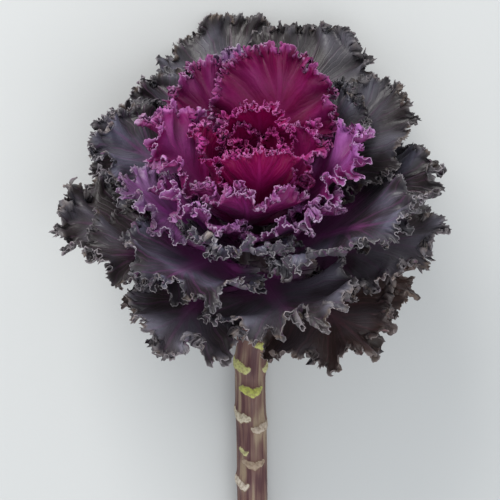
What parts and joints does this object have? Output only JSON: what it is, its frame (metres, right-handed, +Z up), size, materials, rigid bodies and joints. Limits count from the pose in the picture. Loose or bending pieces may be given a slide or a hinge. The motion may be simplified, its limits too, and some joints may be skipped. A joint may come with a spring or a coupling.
{
  "type": "purple kale bunch",
  "caption": "Cut head of ornamental kale lying on its back: a rosette of frilled magenta to grey-purple leaves round a thick bare stem with a plain cut end.",
  "frame": {"origin": "middle of the underside of the whole plant's box, on the surface it lies on", "axes": "+Z up off the surface, +Y from the cut end of the stem towards the head, +X to the right as seen from above with the head at the top"},
  "size_m": [0.1499, 0.2361, 0.1107],
  "materials": {
    "stem": "satin",
    "heart_leaf": "satin",
    "inner_leaf": "satin",
    "middle_leaf": "satin",
    "outer_leaf": "satin",
    "skirt_leaf": "satin"
  },
  "bodies": {
    "root": {"stem": "stem", "heart_bud": "heart_leaf", "heart_leaf_01": "heart_leaf", "heart_leaf_02": "heart_leaf", "heart_leaf_03": "heart_leaf", "heart_leaf_04": "heart_leaf", "heart_leaf_05": "heart_leaf", "inner_leaf_01": "inner_leaf", "inner_leaf_02": "inner_leaf", "inner_leaf_03": "inner_leaf", "inner_leaf_04": "inner_leaf", "middle_leaf_01": "middle_leaf", "middle_leaf_02": "middle_leaf", "middle_leaf_03": "middle_leaf", "middle_leaf_04": "middle_leaf", "middle_leaf_05": "middle_leaf", "middle_leaf_06": "middle_leaf", "middle_leaf_07": "middle_leaf", "middle_leaf_08": "middle_leaf", "middle_leaf_09": "middle_leaf", "middle_leaf_10": "middle_leaf", "middle_leaf_11": "middle_leaf", "outer_leaf_01": "outer_leaf", "outer_leaf_02": "outer_leaf", "outer_leaf_03": "outer_leaf", "outer_leaf_04": "outer_leaf", "outer_leaf_05": "outer_leaf", "outer_leaf_06": "outer_leaf", "outer_leaf_07": "outer_leaf", "outer_leaf_08": "outer_leaf", "outer_leaf_09": "outer_leaf", "outer_leaf_10": "outer_leaf", "outer_leaf_11": "outer_leaf", "outer_leaf_12": "outer_leaf", "outer_leaf_13": "outer_leaf", "skirt_leaf_01": "skirt_leaf", "skirt_leaf_02": "skirt_leaf", "skirt_leaf_03": "skirt_leaf", "skirt_leaf_04": "skirt_leaf", "skirt_leaf_05": "skirt_leaf", "skirt_leaf_06": "skirt_leaf"}
  },
  "joints": []
}
